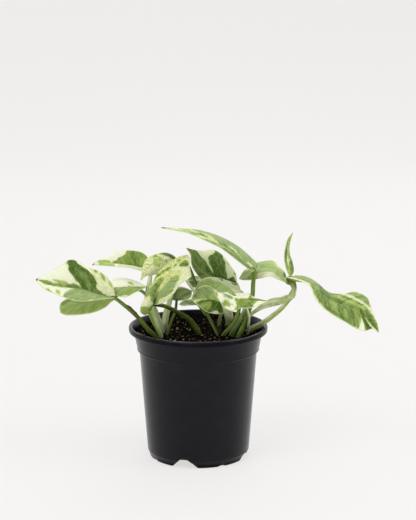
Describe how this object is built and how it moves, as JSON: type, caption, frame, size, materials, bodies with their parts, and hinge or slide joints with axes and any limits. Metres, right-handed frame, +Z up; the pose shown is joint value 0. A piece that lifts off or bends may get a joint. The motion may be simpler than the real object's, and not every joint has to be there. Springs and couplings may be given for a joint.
{
  "type": "potted pothos",
  "caption": "Small variegated pothos with heart-shaped green and cream leaves on arching stalks, in a round tapered black plastic nursery pot filled with soil.",
  "frame": {"origin": "middle of the object's outline seen from above, on the surface that the pot stands on; the pot's axis is 7.5 mm to -X of it", "axes": "+Z up along the pot's axis, +X to the plant's right when it is seen from the front, front towards -Y"},
  "size_m": [0.2595, 0.108, 0.1834],
  "materials": {
    "black_plastic": "moulded, satin",
    "soil": "damp potting mix with bark and perlite",
    "leaf": "waxy, variegated green and cream",
    "stalk": "smooth, satin green to cream",
    "dry_sheath": "dry, papery"
  },
  "bodies": {
    "root": {"pot": "black_plastic", "soil": "soil", "leaf_far_left": "leaf", "leaf_low_left": "leaf", "leaf_inner_left": "leaf", "leaf_back_left": "leaf", "leaf_speckled": "leaf", "leaf_cream_front": "leaf", "leaf_tall_back": "leaf", "leaf_centre_back": "leaf", "leaf_centre_front": "leaf", "leaf_folded_front": "leaf", "leaf_top_long": "leaf", "leaf_arched_right": "leaf", "leaf_young_furled": "leaf", "leaf_far_right": "leaf", "leaf_shaded_left": "leaf", "leaf_shaded_small": "leaf", "leaf_hidden_left": "leaf", "leaf_hidden_centre": "leaf", "stem_left": "stalk", "stem_right": "stalk", "stem_wing": "stalk", "stem_neck": "stalk", "stalk_low_left": "stalk", "stalk_back_left": "stalk", "stalk_cream_front": "stalk", "stalk_hidden_left": "stalk", "stalk_shaded_left": "stalk", "stalk_speckled": "stalk", "stalk_centre_front": "stalk", "stalk_folded_front": "stalk", "stalk_tall_back": "stalk", "stalk_centre_back": "stalk", "stalk_top_long": "stalk", "stalk_arched_right": "stalk", "stalk_hidden_centre": "stalk", "stalk_shaded_small": "stalk", "shoot_curved": "stalk", "sheath_left": "dry_sheath", "sheath_centre": "dry_sheath", "sheath_low": "dry_sheath"}
  },
  "joints": []
}
